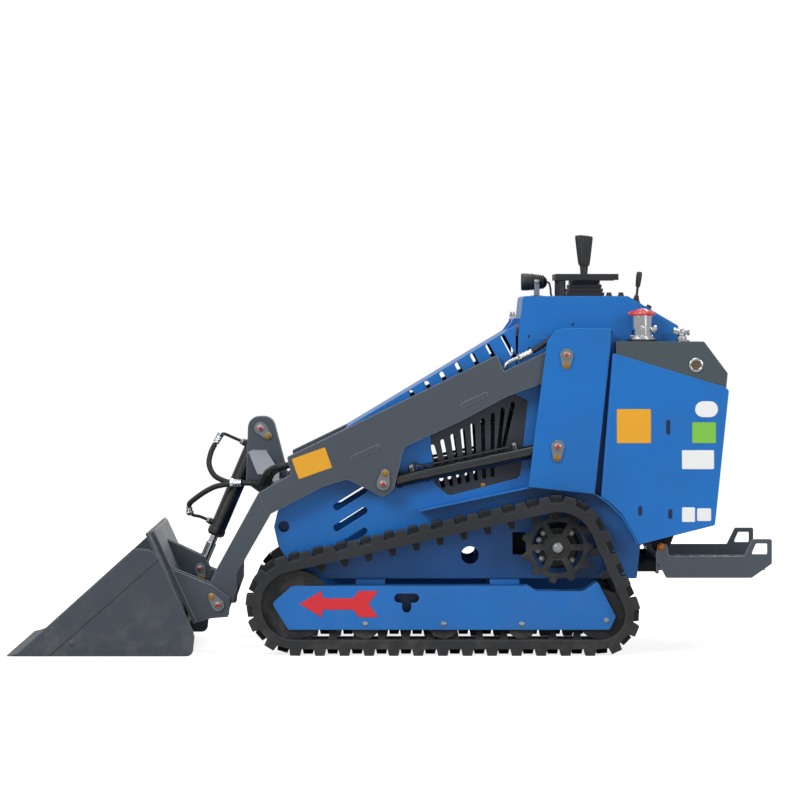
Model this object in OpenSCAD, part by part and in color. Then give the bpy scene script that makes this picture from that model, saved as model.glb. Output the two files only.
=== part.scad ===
// Mini skid steer loader on rubber tracks. The bucket faces -X, the operator's platform +X,
// +Z is up and z = 0 is the ground. Every size is in millimetres. The machine's left side is -Y.

/* [Tracks] */
// Width of each rubber track
track_w = 180; // [150:5:200]
// Distance between the middles of the two tracks
track_gauge = 830; // [820:5:880]
// Number of lugs round one track
lug_count = 37; // [30:1:42]
// Height of a lug
lug_h = 20; // [12:1:26]
// Length of a lug at its root, along the track
lug_root = 38; // [30:1:44]
// Length of a lug at its tip, along the track
lug_tip = 28; // [16:1:30]
// Thickness of the belt
belt_t = 27; // [20:1:30]
// Height of the guide horns inside the belt
horn_h = 26; // [14:1:28]
// Radius of the front idler
front_idler_r = 104; // [95:1:112]
// Radius of the rear idler
rear_idler_r = 75; // [65:1:85]
// Radius of the sprocket over its teeth
sprocket_r = 110; // [100:1:118]
// Number of sprocket teeth
sprocket_teeth = 11; // [9:1:13]
// Radius of a track roller
roller_r = 46; // [40:1:50]
// Number of rollers on each side
roller_count = 3; // [2:1:4]

/* [Frame] */
// Width of the chassis over its side plates
chassis_w = 600; // [560:5:610]
// Thickness of a chassis side plate
side_t = 10; // [6:1:14]
// Thickness of a tower's outer plate
tower_t = 10; // [8:1:12]
// Thickness of a track frame plate
track_plate_t = 8; // [5:1:10]
// Outer width of a track frame
track_frame_w = 102; // [96:2:120]
// Thickness of the belly plate
belly_t = 8; // [5:1:12]

/* [Lift arms] */
// Width of a lift arm
arm_w = 60; // [54:1:62]
// Thickness of an arm's side plates
cheek_t = 5; // [4:0.5:6]
// Gap on each side of a lift arm
arm_gap = 5; // [4:0.5:7]
// Radius of the arm pivot pins
pivot_pin_r = 20; // [15:1:25]
// Radius of the lift cylinder pins
cylinder_pin_r = 16; // [12:1:18]
// Radius of the bucket pins
bucket_pin_r = 16; // [12:1:20]
// Radius of the cross tube between the arms
cross_tube_r = 32; // [28:1:36]
// Outer radius of a lift cylinder's barrel
lift_barrel_r = 21; // [18:0.5:21.5]
// Radius of a lift cylinder's rod
lift_rod_r = 12.5; // [10:0.5:14]
// Outer radius of the tilt cylinder's barrel
tilt_barrel_r = 25; // [22:0.5:27]
// Radius of the tilt cylinder's rod
tilt_rod_r = 12.5; // [10:0.5:14]

/* [Bucket] */
// Width of the bucket
bucket_w = 1050; // [1000:10:1200]
// Thickness of the bucket's sheet
bucket_sheet = 8; // [5:1:12]
// Thickness of the bucket's side plates
bucket_side_t = 8; // [5:1:12]
// Thickness of the cutting edge
edge_t = 16; // [12:1:20]
// Thickness of the quick attach plate
attach_t = 12; // [8:1:16]

/* [Body] */
// Width over the rear side panels
body_w = 790; // [780:5:820]
// Thickness of the blue body sheets
sheet_t = 4; // [3:0.5:6]
// Number of slots in each side grille
grille_slots = 9; // [5:1:11]
// Width of a grille slot
grille_slot_w = 13; // [8:1:14]

/* [Platform and controls] */
// Width of the operator's platform
platform_w = 730; // [600:10:780]
// Thickness of the platform's side plates
platform_t = 8; // [5:1:12]
// Number of control levers
lever_count = 5; // [3:1:6]
// Height of a control lever's grip
lever_grip_h = 95; // [60:1:110]

/* [Hidden] */
$fn = 48;

// Clearances
belt_gap = 0.6;
running_gap = 0.05;
face_gap = 0.02;
hinge_gap = 3;
seam = 5;

// Places along the machine, [x, z] in side view
arm_pivot = [533.6, 906.7];
lift_base = [506.7, 628];
lift_eye = [-25.5, 513.9];
bucket_pivot = [-528.5, 145.2];
tilt_top = [-410.3, 675.7];
tilt_eye = [-598.3, 236.8];
front_idler_x = -290;
rear_idler_x = 631;
sprocket_at = [504.4, 323.7];
roller_first = -80;
roller_last = 395;
belly_z = 222;
cross_tube_at = [-343, 487];
ear_hole = [-330.5, 380.3];

// Places across the machine
side_y = chassis_w / 2;
arm_y0 = side_y + arm_gap;
arm_y1 = arm_y0 + arm_w;
tower_y0 = arm_y1 + arm_gap;
tower_y1 = tower_y0 + tower_t;
body_y = body_w / 2;
track_y = track_gauge / 2;
frame_y0 = track_y - track_frame_w / 2;
frame_y1 = track_y + track_frame_w / 2;
rim_in = 27;
rim_w = 11;

// Colours
blue = [0.08, 0.36, 0.68];
grey = [0.27, 0.29, 0.31];
black = [0.07, 0.07, 0.08];
steel = [0.72, 0.73, 0.74];

// Plane geometry for side views
function unit(v) = v / norm(v);
function left_of(v) = [-v[1], v[0]] / norm(v);
function turned(v, a) = [v[0] * cos(a) - v[1] * sin(a), v[0] * sin(a) + v[1] * cos(a)];
function xz(p) = [p[0], p[1]];
function radius_of(p) = len(p) > 2 ? p[2] : 0;
function bend_angle(a, b) = atan2(a[0] * b[1] - a[1] * b[0], a * b);

// A corner at p between the directions a and b, rounded to the radius r
function corner(p, a, b, r, steps = 5) =
    let (t = bend_angle(a, b), start = p - a * r * tan(abs(t) / 2), hub = sign(t) * r * left_of(a))
    r == 0 || abs(t) < 1 ? [p]
    : [for (j = [0:steps]) start + hub + turned(-hub, t * j / steps)];

// A closed outline whose points are [x, z] or [x, z, corner radius]
function outline(pts) = let (n = len(pts)) [
    for (i = [0:n - 1])
        let (p = xz(pts[i]), a = unit(p - xz(pts[(i + n - 1) % n])), b = unit(xz(pts[(i + 1) % n]) - p))
            each corner(p, a, b, radius_of(pts[i]))
];

// An open line with its inner corners rounded
function bent(pts) = let (n = len(pts)) [
    for (i = [0:n - 1])
        let (p = xz(pts[i]))
            each i == 0 || i == n - 1 ? [p]
            : corner(p, unit(p - xz(pts[i - 1])), unit(xz(pts[i + 1]) - p), radius_of(pts[i]))
];

// A point of a line moved sideways by t, to the left of its direction
function beside(line, i, t) =
    let (n = len(line), a = unit(line[max(i, 1)] - line[max(i, 1) - 1]),
         b = unit(line[min(i, n - 2) + 1] - line[min(i, n - 2)]), m = left_of(a) + left_of(b))
    line[i] + t * m * 2 / (m * m);

// The outline of a sheet of thickness t that follows a line, on its left side
function sheet_of(line, t) = concat(line, [for (i = [len(line) - 1:-1:0]) beside(line, i, t)]);

// Extrudes a side view between two widths
module across(y0, y1) {
    translate([0, y1, 0]) rotate([90, 0, 0]) linear_extrude(height = y1 - y0) children();
}

module plate(pts, y0, y1) {
    across(y0, y1) polygon(outline(pts));
}

module sheet(line, t, y0, y1) {
    across(y0, y1) polygon(sheet_of(bent(line), t));
}

module rod_across(p, r, y0, y1) {
    translate([p[0], y1, p[1]]) rotate([90, 0, 0]) cylinder(r = r, h = y1 - y0);
}

module both_sides() {
    children();
    mirror([0, 1, 0]) children();
}

// A slot with round ends between two points of a side view, as wide as twice r
module slot(p, q, r) {
    a = unit(q - p);
    polygon([for (i = [0:8]) q + r * turned(a, -90 + i * 22.5), for (i = [0:8]) p + r * turned(a, 90 + i * 22.5)]);
}

// Turns a shape drawn along +X so that it runs from p towards q in side view
module aimed(p, q) {
    translate([p[0], 0, p[1]]) rotate([0, -atan2(q[1] - p[1], q[0] - p[0]), 0]) children();
}

// Track loop: each wheel is [x, z, radius to the outside of the belt]
rail_z = lug_h + belt_t + belt_gap;
front_idler_at = [front_idler_x, rail_z + front_idler_r];
rear_idler_at = [rear_idler_x, rail_z + rear_idler_r];
wheels = [
    [front_idler_at[0], front_idler_at[1], front_idler_r + belt_gap + belt_t],
    [sprocket_at[0], sprocket_at[1], sprocket_r + belt_gap + belt_t],
    [rear_idler_at[0], rear_idler_at[1], rear_idler_r + belt_gap + belt_t]
];
function wheel_r(i) = wheels[i % 3][2];
function wheel_at(i) = xz(wheels[i % 3]);
function run(i) = wheel_at(i + 1) - wheel_at(i);
function run_lean(i) = (wheel_r(i) - wheel_r(i + 1)) / norm(run(i));
function run_side(i) = run_lean(i) * unit(run(i)) + sqrt(1 - pow(run_lean(i), 2)) * left_of(run(i));
function run_len(i) = norm(run(i)) * sqrt(1 - pow(run_lean(i), 2));
function bearing(v) = atan2(v[1], v[0]);
function arc_start(i) = bearing(run_side(i + 2));
function arc_turn(i) = (arc_start(i) - bearing(run_side(i)) + 720) % 360;
function arc_len(i) = wheel_r(i) * arc_turn(i) * PI / 180;
loop_len = arc_len(0) + run_len(0) + arc_len(1) + run_len(1) + arc_len(2) + run_len(2);
lug_pitch = loop_len / lug_count;

// The point at distance s round the outside of the belt, moved out by h
function on_loop(s, h, i = 0) =
    s < 0 ? on_loop(s + loop_len, h)
    : i > 2 ? on_loop(s, h, 0)
    : s <= arc_len(i)
        ? let (a = arc_start(i) - s / wheel_r(i) * 180 / PI)
            wheel_at(i) + (wheel_r(i) + h) * [cos(a), sin(a)]
    : s <= arc_len(i) + run_len(i)
        ? wheel_at(i) + (wheel_r(i) + h) * run_side(i)
            + (s - arc_len(i)) * (wheel_at(i + 1) + wheel_r(i + 1) * run_side(i)
            - wheel_at(i) - wheel_r(i) * run_side(i)) / run_len(i)
    : on_loop(s - arc_len(i) - run_len(i), h, i + 1);

function lug_points(k, phase) = [
    for (c = [[-lug_root / 2, 0], [-lug_tip / 2, lug_h], [lug_tip / 2, lug_h], [lug_root / 2, 0]])
        on_loop((k + phase) * lug_pitch + c[0], c[1])
];

function belt_inside() = [
    for (i = [0:2])
        let (n = ceil(arc_turn(i) / 10))
            for (j = [0:n])
                let (a = arc_start(i) - j * arc_turn(i) / n)
                    wheel_at(i) + (wheel_r(i) - belt_t) * [cos(a), sin(a)]
];

horn_root = 26;
horn_tip = 16;
horn_y = 19;
horn_w = 12;
function horn_points(k) = [
    for (c = [[-horn_root / 2, 2 - belt_t], [horn_root / 2, 2 - belt_t],
              [horn_tip / 2, -belt_t - horn_h], [-horn_tip / 2, -belt_t - horn_h]])
        on_loop((k + 0.5) * lug_pitch + c[0], c[1])
];

// One rubber track: an inner and an outer half with their lugs half a pitch apart
module track() {
    color(black) union() {
        for (half = [[track_y - track_w / 2, track_y, 0.5], [track_y, track_y + track_w / 2, 0]])
            across(half[0], half[1]) difference() {
                polygon([for (k = [0:lug_count - 1]) each lug_points(k, half[2])]);
                polygon(belt_inside());
            }
        for (s = [-1, 1])
            across(track_y + s * horn_y - horn_w / 2, track_y + s * horn_y + horn_w / 2)
                for (k = [0:lug_count - 1]) polygon(horn_points(k));
    }
}

sprocket_t = 20;
sprocket_rim = 30;
spoke_w = 18;
spokes = 6;
hub_r = 40;
tooth_h = 16;
motor_r = 58;
motor_y1 = track_y - sprocket_t;

module sprocket_face() {
    difference() {
        union() {
            circle(sprocket_r - tooth_h);
            for (k = [0:sprocket_teeth - 1])
                rotate(k * 360 / sprocket_teeth)
                    polygon([[sprocket_r - tooth_h - 4, -16], [sprocket_r, -7],
                             [sprocket_r, 7], [sprocket_r - tooth_h - 4, 16]]);
        }
        circle(sprocket_r - sprocket_rim);
    }
    circle(hub_r);
    for (k = [0:spokes - 1])
        rotate(k * 360 / spokes)
            translate([hub_r - 4, -spoke_w / 2]) square([sprocket_r - sprocket_rim - hub_r + 8, spoke_w]);
}

module sprocket() {
    color(black) union() {
        across(track_y - sprocket_t / 2, track_y + sprocket_t / 2) translate(sprocket_at) sprocket_face();
        rod_across(sprocket_at, hub_r + 4, motor_y1, track_y - sprocket_t / 2);
        rod_across(sprocket_at, 30, track_y + sprocket_t / 2, track_y + sprocket_t / 2 + 6);
        rod_across(sprocket_at, 16, track_y + sprocket_t / 2 + 6, track_y + sprocket_t / 2 + 16);
    }
}

module drive_motors() {
    color(black) both_sides() union() {
        rod_across(sprocket_at, motor_r + 12, side_y, side_y + 16);
        rod_across(sprocket_at, motor_r, side_y + 16, motor_y1);
    }
}

// A wheel with two rims that run on each side of the guide horns
module twin_rim_wheel(at, rim_r, core_r, axle_r) {
    inner_y0 = frame_y0 + track_plate_t;
    inner_y1 = frame_y1 - track_plate_t;
    rod_across(at, axle_r, inner_y0, inner_y1);
    rod_across(at, core_r, track_y - rim_in, track_y + rim_in);
    for (s = [-1, 1])
        rod_across(at, rim_r, track_y + s * (rim_in + rim_w / 2) - rim_w / 2,
                   track_y + s * (rim_in + rim_w / 2) + rim_w / 2);
}

module front_idlers() {
    color(black) both_sides() union()
        twin_rim_wheel(front_idler_at, front_idler_r, front_idler_r - horn_h - 6, 18);
}

module rear_idlers() {
    color(black) both_sides() union()
        twin_rim_wheel(rear_idler_at, rear_idler_r, rear_idler_r - horn_h - 6, 18);
}

module track_rollers() {
    color(black) both_sides()
        for (i = [0:roller_count - 1])
            twin_rim_wheel([roller_first + i * (roller_last - roller_first) / (roller_count - 1),
                            rail_z + roller_r], roller_r, roller_r - horn_h - 2, 12);
}

frame_top = 209;
frame_bottom = 76;
module track_frame_face() {
    difference() {
        polygon(outline([[-362, 156, 12], [-312, frame_bottom, 8], [661, frame_bottom, 12], [680, 116, 10],
                         [624, 223, 8], [604, 208, 10], [577, 192.6, 6], [438, 192.6, 6],
                         [411, frame_top, 6], [-301.5, frame_top, 8]]));
        children();
    }
}

keyhole_at = [46, 172];
module keyhole() {
    translate(keyhole_at) slot([-24, 0], [24, 0], 14);
    translate(keyhole_at) slot([0, 0], [0, -30], 14);
}

module track_frame() {
    color(blue) union() {
        across(frame_y1 - track_plate_t, frame_y1) track_frame_face() keyhole();
        across(frame_y0, frame_y0 + track_plate_t) track_frame_face();
        translate([front_idler_x + front_idler_r + 10, frame_y0, frame_top - track_plate_t])
            cube([400 - front_idler_x - front_idler_r - 10, track_frame_w, track_plate_t]);
    }
}

// Seam between the hood and the chassis sides
hood_low = [-229, 512];
hood_rear = [383, 848];
seam_side = seam * left_of(hood_low - hood_rear);

side_slots = [[[-168, 441], [-84.6, 492.8]], [[-168, 376.6], [-84.6, 429.4]], [[-168, 313.2], [-84.6, 366.5]]];
console_foot = [388.8, 963.4];
grille_corners = [[130, 514, 20], [175, 475, 20], [393, 531, 10], [418, 767, 10], [372, 790, 10], [118, 668, 10]];

module chassis_side() {
    color(blue) difference() {
        plate([[-348, 434, 20], [-360.5, 380, 20], [-348, 324, 15], [-321, 281, 10], [-262, belly_z, 10],
               [752, belly_z, 10], [762, 324, 5], [975, 389, 10], [1005, 640, 10], [1005, 800, 20],
               [879, 942.9, 10], console_foot, hood_rear + seam_side, hood_low + seam_side], side_y - side_t, side_y);
        across(side_y - side_t - 1, side_y + 1) {
            polygon(outline(grille_corners));
            for (s = side_slots) slot(s[0], s[1], 11);
            translate([390.6, 329.7]) square([40, 68], center = true);
        }
        rod_across(ear_hole, 17, side_y - side_t - 1, side_y + 1);
        rod_across([240, 293], 27, side_y - side_t - 1, side_y + 1);
        rod_across(arm_pivot, pivot_pin_r + running_gap, side_y - side_t - 1, side_y + 1);
        rod_across(lift_base, cylinder_pin_r + running_gap, side_y - side_t - 1, side_y + 1);
    }
}

module side_grilles() {
    color(grey) both_sides()
        across(side_y - side_t - 6, side_y - side_t) difference() {
            offset(14) polygon(outline(grille_corners));
            for (i = [0:grille_slots - 1])
                let (u = i / (grille_slots - 1), cut = max(0, i - grille_slots + 3) * 35)
                    slot([125.7, 625] + u * [246, 131], [157.6, 505] + u * [202, 45] + cut * [-0.25, 0.97],
                         grille_slot_w / 2);
        }
}

inside_y = side_y - side_t;
beam_h = 50;
beam_w = 90;
beam_x = [-110, 300];
module belly_frame() {
    color(blue) union() {
        translate([-255, -inside_y, belly_z]) cube([bumper_x0 + 255, 2 * inside_y, belly_t]);
        translate([bumper_x0 - 8, -inside_y, belly_z]) cube([8, 2 * inside_y, 90]);
        for (x = beam_x)
            translate([x, -frame_y0, belly_z - beam_h]) cube([beam_w, 2 * frame_y0, beam_h]);
        for (s = [-1, 1])
            translate([260, s * 150 - 15, belly_z + belly_t]) cube([360, 30, 60]);
    }
}

engine_size = [340, 400, 400];
module engine_block() {
    color(black)
        translate([270, -engine_size[1] / 2, belly_z + belly_t + 60]) cube(engine_size);
}

module front_cross_tube() {
    color(blue) difference() {
        rod_across(ear_hole, 28, -inside_y, inside_y);
        rod_across(ear_hole, 17, inside_y - 60, inside_y + 1);
        rod_across(ear_hole, 17, -inside_y - 1, 60 - inside_y);
    }
}

guard_line = [[86.7, 429], [415.5, 499.1], [467, 503.6], [512.9, 502.1], [606, 486], [631, 473.8],
              [662, 451.9], [699, 414.7], [730, 365], [747, 330]];
guard_t = 5;
tower_bottom = [guard_line[1] + [2, guard_t + 1], guard_line[5] + [-12, guard_t + 5]];

module tower() {
    color(blue) union() {
        difference() {
            plate([[475, 950.5, 20], [499.7, 982.2, 20], [524.1, 989.2, 20], [668.9, 989.2, 4], [665.8, 916],
                   tower_bottom[1], tower_bottom[0], [436.6, 663.7]], tower_y0, tower_y1);
            rod_across(arm_pivot, pivot_pin_r + running_gap, tower_y0 - 1, tower_y1 + 1);
            rod_across(lift_base, cylinder_pin_r + running_gap, tower_y0 - 1, tower_y1 + 1);
        }
        plate([[662.9, 986], [659.8, 916], tower_bottom[1] + [-6, 9], tower_bottom[1] + [-14, 13], [651.8, 917],
               [654.9, 986]], side_y, tower_y0);
    }
}

module tower_pins() {
    color(steel) both_sides() {
        rod_across(arm_pivot, pivot_pin_r, inside_y, tower_y1);
        rod_across(lift_base, cylinder_pin_r, inside_y, tower_y1);
    }
}

module track_guards() {
    color(blue) both_sides() {
        sheet([for (i = [0:5]) guard_line[i]], guard_t, side_y, tower_y0);
        sheet([for (i = [5:9]) guard_line[i]], guard_t, side_y, body_y - sheet_t);
    }
}

hood_top = [379, 996.5];
hood_hinge = [382, 1010.5];
hinge_pin_r = 5;
hinge_r = 9;
hinge_y = 180;
hinge_w = 60;
hood_break = [-140, 684];
module hood() {
    color(blue) difference() {
        across(-side_y, side_y) polygon(outline([hood_top, hood_rear, hood_low, hood_break]));
        across(-side_y + sheet_t, side_y - sheet_t)
            polygon([hood_top + [6, -sheet_t - 1], hood_rear + [6, -30], hood_low + [sheet_t + 1, -30],
                     hood_low + [sheet_t + 1, 0], hood_break + [sheet_t, -sheet_t]]);
        for (i = [0:6])
            let (p = [60, 792] + i * [47, 28.4])
                across(-side_y - 1, side_y + 1) slot(p, p + [36, -66], 7);
    }
    color(steel) both_sides() difference() {
        union() {
            rod_across(hood_hinge, hinge_r, hinge_y - hinge_w / 2, hinge_y + hinge_w / 2);
            plate([hood_top + [-30, -18.1], hood_top, hood_hinge + [0, 8.5], hood_hinge + [-7, 5.5]],
                  hinge_y - hinge_w / 2, hinge_y + hinge_w / 2);
        }
        rod_across(hood_hinge, hinge_pin_r + 2 * running_gap, hinge_y - hinge_w, hinge_y + hinge_w);
        across(0, side_y) polygon([hood_top + [-60, -36.2], hood_top, hood_top + [0, -60], hood_top + [-60, -60]]);
    }
}

console_top = 1087.6;
console_rear = [879, console_top - 91.4];
console_brow = [724.2, console_top];
function on_slope(x) = [x, console_top + (x - console_brow[0]) * (console_rear - console_brow)[1]
                              / (console_rear - console_brow)[0]];
module console() {
    color(blue) union() {
        plate([[402.9, console_top, 10], console_foot, [console_rear[0], tank_top - 5.8],
               concat(console_rear, 6), concat(console_brow, 10)], -side_y, side_y);
        both_sides() {
            for (s = [-1, 1])
                let (y = hinge_y + s * (hinge_w / 2 + 4.5))
                    plate([hood_hinge + [-9, 9, 8], hood_hinge + [-9, -9, 8], hood_hinge + [13, -9], hood_hinge + [15, 9]],
                          y - 3, y + 3);
            rod_across(hood_hinge, hinge_pin_r, hinge_y - hinge_w / 2 - 4, hinge_y + hinge_w / 2 + 4);
        }
    }
}

panel_front = [[675.5, 913.1], [640, 474]];
module rear_panel() {
    color(blue) union() {
        plate([panel_front[0], panel_front[1], guard_line[6] + [4, guard_t + 2], guard_line[7] + [4, guard_t + 1],
               guard_line[8] + [5, 2], [754, 331], [984.8, 389.4, 8], [1027.4, 800.5, 10], [1011.3, 811.4]],
              body_y - sheet_t, body_y);
        plate([panel_front[0], panel_front[0] + [sheet_t, 0], panel_front[1] + [sheet_t, 0], panel_front[1]],
              side_y, body_y - sheet_t);
    }
}

tank_top = 948.7;
tank_y = (side_y + body_y - sheet_t) / 2;
module tank() {
    color(grey) plate([[684, tank_top, 6], [951.7, tank_top, 8], [1023.8, tank_top - 96.5, 8],
                       [1019.6, 808.6], [990, 520, 10], [690, 520, 10]], side_y, body_y - sheet_t);
}

module rear_cover() {
    color(blue) plate([[975, 392], [1005, 642], [1005, 798], [883, 938], [877, 932], [999, 795], [999, 642],
                       [969, 392]], -inside_y, inside_y);
}

filler_x = 764;
module filler_cap() {
    color(steel) translate([filler_x, -tank_y, tank_top]) union() {
        cylinder(r = tank_y - side_y - 2, h = 11);
        translate([0, 0, 11]) cylinder(r = 32, h = 70);
        translate([0, 0, 81]) cylinder(r1 = 40, r2 = 12, h = 18);
    }
}

breather_x = 886;
module breather_fitting() {
    color(steel) translate([breather_x, -tank_y, tank_top]) union() {
        cylinder(r = 16, h = 14);
        translate([0, 0, 14]) cylinder(r = 9, h = 25);
        translate([-22, 0, 30]) rotate([0, 90, 0]) cylinder(r = 8, h = 44);
    }
}

lever_x = 602;
lever_step = 42;
bellows = [[57, 150], [50, 140], [43, 130], [36, 120]];
tier_h = 12.5;
module control_levers() {
    color(black) union() {
        for (i = [0:3])
            translate([lever_x - bellows[i][0], -bellows[i][1], console_top + i * tier_h])
                cube([2 * bellows[i][0], 2 * bellows[i][1], tier_h]);
        for (i = [0:lever_count - 1])
            let (row = i - (lever_count - 1) / 2)
                translate([lever_x + row * 4, row * lever_step, console_top + 48]) rotate([0, row * 2.2, 0]) union() {
                    cylinder(r = 6, h = 50);
                    translate([0, 0, 48]) cylinder(r = 12, h = lever_grip_h);
                }
    }
}

guard_front = 508;
guard_rear = 702;
guard_y = 150;
guard_h = 50;
module guard_bar() {
    color(black) union() {
        for (s = [-1, 1]) translate([guard_front + 19, s * guard_y, console_top]) cylinder(r = 12, h = guard_h + 2);
        translate([guard_front, -guard_y - 20, console_top + guard_h]) cube([40, 2 * guard_y + 40, 19]);
        for (s = [-1, 1])
            translate([guard_front, s * guard_y - 20, console_top + guard_h])
                cube([guard_rear - guard_front, 40, 19]);
    }
}

lamp_r = 22;
lamp_x = 410;
lamp_l = 66;
lamp_h = 42;
module work_lamp() {
    color(black) union() {
        translate([lamp_x + 20, -20, console_top]) cube([50, 40, 6]);
        translate([lamp_x + 42, -8, console_top + 5]) cube([10, 16, lamp_h - 15]);
        translate([lamp_x, 0, console_top + lamp_h]) rotate([0, 90, 0]) cylinder(r = lamp_r, h = lamp_l);
    }
}

throttle_x = 758;
throttle_y = -120;
slope_lean = atan2(console_brow[1] - console_rear[1], console_rear[0] - console_brow[0]);
module throttle_lever() {
    color(black) translate([throttle_x, throttle_y, on_slope(throttle_x)[1]]) union() {
        rotate([0, slope_lean, 0]) translate([0, 0, face_gap]) cylinder(r = 16, h = 8);
        rotate([0, 7, 0]) translate([0, 0, 6]) cylinder(r = 5, h = 46);
        rotate([0, 7, 0]) translate([0, 0, 46]) cylinder(r = 9, h = 52);
    }
}

platform_y = platform_w / 2;
module platform() {
    color(grey) union() {
        both_sides() difference() {
            plate([[813, 333, 8], [806, 290, 8], [837.4, 227.2, 8], [1098.6, 227.2, 8], [1160.8, 270.8, 8],
                   [1160.8, 345.9, 6], [1101.3, 345.9, 6], [1075.4, 294], [846, 294, 8], [840.5, 330, 8]],
                  platform_y - platform_t, platform_y);
            plate([[1112, 332, 4], [1098, 300, 4], [1146, 300, 4], [1146, 332, 4]], platform_y - platform_t - 1,
                  platform_y + 1);
        }
        translate([814, platform_t - platform_y, 250]) cube([326, platform_w - 2 * platform_t, 8]);
        translate([bumper_x1, platform_t - platform_y, 240]) cube([8, platform_w - 2 * platform_t, 50]);
    }
}

// The platform hangs on a shaft under the chassis and leans on two rubber bumpers
bumper_x0 = 752;
bumper_x1 = 808;
bumper_at = [250, 262];
shaft_at = [826, 314];
shaft_r = 12;
module platform_mounts() {
    color(black) both_sides() difference() {
        plate([[780, 400], [885, 400], [850, 312, 20], [826, 290, 20], [800, 312, 20]], inside_y - 10, inside_y);
        rod_across(shaft_at, shaft_r + running_gap, inside_y - 11, inside_y + 1);
    }
    color(black) both_sides()
        translate([bumper_x0, bumper_at[0], bumper_at[1]]) rotate([0, 90, 0])
            cylinder(r = 22, h = bumper_x1 - bumper_x0);
}

module platform_shaft() {
    color(black) rod_across(shaft_at, shaft_r, platform_t - platform_y, platform_y - platform_t);
}

// Lift arm, with the pocket round the rod's eye left open below
arm_outline = [
    [arm_pivot[0] - 20, 960, 30], [464.9, 913.7], [343.2, 857.9], [321.8, 906.7, 4], [-319.1, 595.4, 4],
    [-306.9, 543.5, 4], [-406.7, 485.8, 12], [-537.3, 248.7], [-563, 190, 20], [-556, 118, 25], [-500, 118, 25],
    [-474.2, 191, 8], [-474.2, 239.8, 20], [-371, 421.4, 8], [-207.7, 506.3, 40], [-135, 528, 30],
    [-61.8, 492, 25], [-25.5, 470, 25], [8, 500, 18], [31.6, 602.7, 10], [39.8, 626.5, 20], [212.5, 705.9],
    [352.3, 780.7], [453, 818.2], [540, 845, 30], [595, 880, 40], [585, 955, 40]
];
pocket = [[-75, 590, 20], [-95, 480, 10], [-60, 400], [180, 400], [180, 640], [30, 640]];

module lift_arm() {
    color(grey) difference() {
        plate(arm_outline, arm_y0, arm_y1);
        plate(pocket, arm_y0 + cheek_t, arm_y1 - cheek_t);
        rod_across(arm_pivot, pivot_pin_r + running_gap, arm_y0 - 1, arm_y1 + 1);
        rod_across(bucket_pivot, bucket_pin_r + running_gap, arm_y0 - 1, arm_y1 + 1);
    }
}

tilt_eye_w = 50;
ear_t = 10;
module arm_cross_frame() {
    ear_y = tilt_eye_w / 2 + hinge_gap;
    color(grey) union() {
        rod_across(cross_tube_at, cross_tube_r, -arm_y0, arm_y0);
        both_sides() plate([tilt_top + [-38, 37, 36], tilt_top + [38, 37, 36], [-322, 520], [-300, 490, 20],
                            [-320, 455, 15], [-400, 465, 10], [-455, 505, 10]], ear_y, ear_y + ear_t);
        rod_across(tilt_top, bucket_pin_r, -ear_y - ear_t, ear_y + ear_t);
    }
}

lift_len = norm(lift_eye - lift_base);
lift_barrel_end = lift_len - 40;
barrel_y = (arm_y0 + arm_y1) / 2;
lift_eye_w = 40;

module along_lift() {
    aimed(lift_base, lift_eye) translate([0, barrel_y, 0]) children();
}

module lift_barrels() {
    color(black) both_sides() along_lift() difference() {
        union() {
            rotate([90, 0, 0]) cylinder(r = 26, h = lift_eye_w, center = true);
            translate([22, 0, 0]) rotate([0, 90, 0]) cylinder(r = lift_barrel_r, h = lift_barrel_end - 22);
        }
        rotate([90, 0, 0]) cylinder(r = cylinder_pin_r + running_gap, h = lift_eye_w + 2, center = true);
        translate([50, 0, 0]) rotate([0, 90, 0]) cylinder(r = lift_rod_r + running_gap, h = lift_len);
    }
}

module lift_rods() {
    color(steel) both_sides() along_lift() union() {
        translate([lift_len, 0, 0]) rotate([90, 0, 0]) cylinder(r = 24, h = lift_eye_w, center = true);
        translate([60, 0, 0]) rotate([0, 90, 0]) cylinder(r = lift_rod_r, h = lift_len - 60);
    }
}

tilt_len = norm(tilt_eye - tilt_top);
tilt_barrel_end = 361;
tilt_shank = 391;
tilt_rod_start = 92;
module tilt_barrel() {
    color(black) aimed(tilt_top, tilt_eye) difference() {
        union() {
            rotate([90, 0, 0]) cylinder(r = 28, h = tilt_eye_w, center = true);
            translate([24, 0, 0]) rotate([0, 90, 0]) cylinder(r = tilt_barrel_r, h = tilt_barrel_end - 24);
        }
        rotate([90, 0, 0]) cylinder(r = bucket_pin_r + running_gap, h = tilt_eye_w + 2, center = true);
        translate([60, 0, 0]) rotate([0, 90, 0]) cylinder(r = tilt_rod_r + running_gap, h = tilt_len);
    }
}

rod_eye_w = 40;
module tilt_rod() {
    color(steel) aimed(tilt_top, tilt_eye) union() {
        translate([tilt_len, 0, 0]) rotate([90, 0, 0]) cylinder(r = 22, h = rod_eye_w, center = true);
        translate([tilt_shank, 0, 0]) rotate([0, 90, 0]) cylinder(r = 16, h = tilt_len - tilt_shank);
        translate([tilt_rod_start, 0, 0]) rotate([0, 90, 0])
            cylinder(r = tilt_rod_r, h = tilt_shank - tilt_rod_start);
    }
}

// The bucket's back line, on which the quick attach plate lies
back_low = [-598.5, 77.2];
back_high = [-735.6, 372.1];
back_along = unit(back_high - back_low);
back_out = -left_of(back_along);

attach_low = back_low + 12 * back_along;
attach_high = back_high - 4 * back_along;
attach_face = attach_low + (attach_t + 2 * face_gap) * back_out;
module quick_attach() {
    color(grey) across(-tower_y1 - 5, tower_y1 + 5)
        polygon([for (c = [[attach_low, face_gap], [attach_high, face_gap], [attach_high, attach_t + face_gap],
                           [attach_low, attach_t + face_gap]]) c[0] + c[1] * back_out]);
}

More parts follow.
